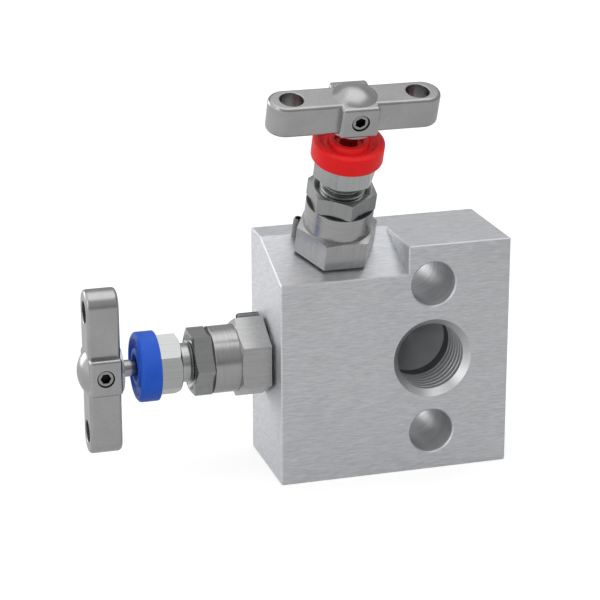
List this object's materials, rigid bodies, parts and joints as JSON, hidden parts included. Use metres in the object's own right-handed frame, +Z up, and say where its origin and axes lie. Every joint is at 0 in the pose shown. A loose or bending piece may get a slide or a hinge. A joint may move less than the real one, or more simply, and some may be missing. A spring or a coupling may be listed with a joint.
{
  "type": "instrument valve manifold",
  "caption": "Square stainless instrument manifold with threaded process port, flange bolt holes, and blue isolating and red vent needle valves, each with a T handle.",
  "frame": {"origin": "centre of the rear flange face, on the axis of the process port and flange bore, midway between the two bolt holes", "axes": "+Y out of the rear flange face, against which the transmitter is bolted; +Z up along the line of the bolt holes; the isolating valve points to -X and the vent valve up and forward"},
  "size_m": [0.1137, 0.0398, 0.108],
  "materials": {
    "block_steel": "bare stainless steel, fine brushing along the width",
    "bonnet_steel": "turned stainless steel",
    "dark_steel": "dark plain steel",
    "gland_steel": "bright machined stainless steel",
    "spring_steel": "plain spring steel",
    "stem_steel": "smooth turned stainless steel",
    "handle_steel": "satin stainless steel",
    "ptfe": "white, slightly waxy",
    "cap_blue": "blue, semi-gloss moulded plastic",
    "cap_red": "red, semi-gloss moulded plastic"
  },
  "bodies": {
    "manifold": {"valve_block": "block_steel", "flange_seal_ring": "ptfe", "isolate_bonnet": "bonnet_steel", "isolate_lock_pin": "spring_steel", "isolate_lock_nut": "dark_steel", "isolate_gland_screw": "gland_steel", "isolate_packing_support_ring": "gland_steel", "isolate_packing_rings": "ptfe", "isolate_gland_follower": "gland_steel", "isolate_dust_cap": "cap_blue", "vent_bonnet": "bonnet_steel", "vent_lock_pin": "spring_steel", "vent_lock_nut": "dark_steel", "vent_gland_screw": "gland_steel", "vent_packing_support_ring": "gland_steel", "vent_packing_rings": "ptfe", "vent_gland_follower": "gland_steel", "vent_dust_cap": "cap_red"},
    "isolate_needle": {"isolate_needle": "stem_steel"},
    "isolate_stem": {"isolate_stem": "stem_steel", "isolate_t_handle": "handle_steel", "isolate_handle_set_screw": "dark_steel"},
    "vent_needle": {"vent_needle": "stem_steel"},
    "vent_stem": {"vent_stem": "stem_steel", "vent_t_handle": "handle_steel", "vent_handle_set_screw": "dark_steel"}
  },
  "joints": [
    {"name": "isolate_needle_slide", "type": "slide", "parent": "manifold", "child": "isolate_needle", "axis": [-1, 0, 0], "range_m": [0, 0.0035]},
    {"name": "isolate_stem_turn", "type": "hinge", "parent": "isolate_needle", "child": "isolate_stem", "pos_m": [-0.0417, -0.0131, 0], "axis": [-1, 0, 0], "range_deg": [0, 1260]},
    {"name": "vent_needle_slide", "type": "slide", "parent": "manifold", "child": "vent_needle", "axis": [0, -0.3584, 0.9336], "range_m": [0, 0.0035]},
    {"name": "vent_stem_turn", "type": "hinge", "parent": "vent_needle", "child": "vent_stem", "pos_m": [-0.0236, -0.0164, 0.02864], "axis": [0, -0.3584, 0.9336], "range_deg": [0, 1260]}
  ],
  "couplings": [
    {"joint": "isolate_needle_slide", "follows": "isolate_stem_turn", "m_per_rad": 0.00015915},
    {"joint": "vent_needle_slide", "follows": "vent_stem_turn", "m_per_rad": 0.00015915}
  ]
}
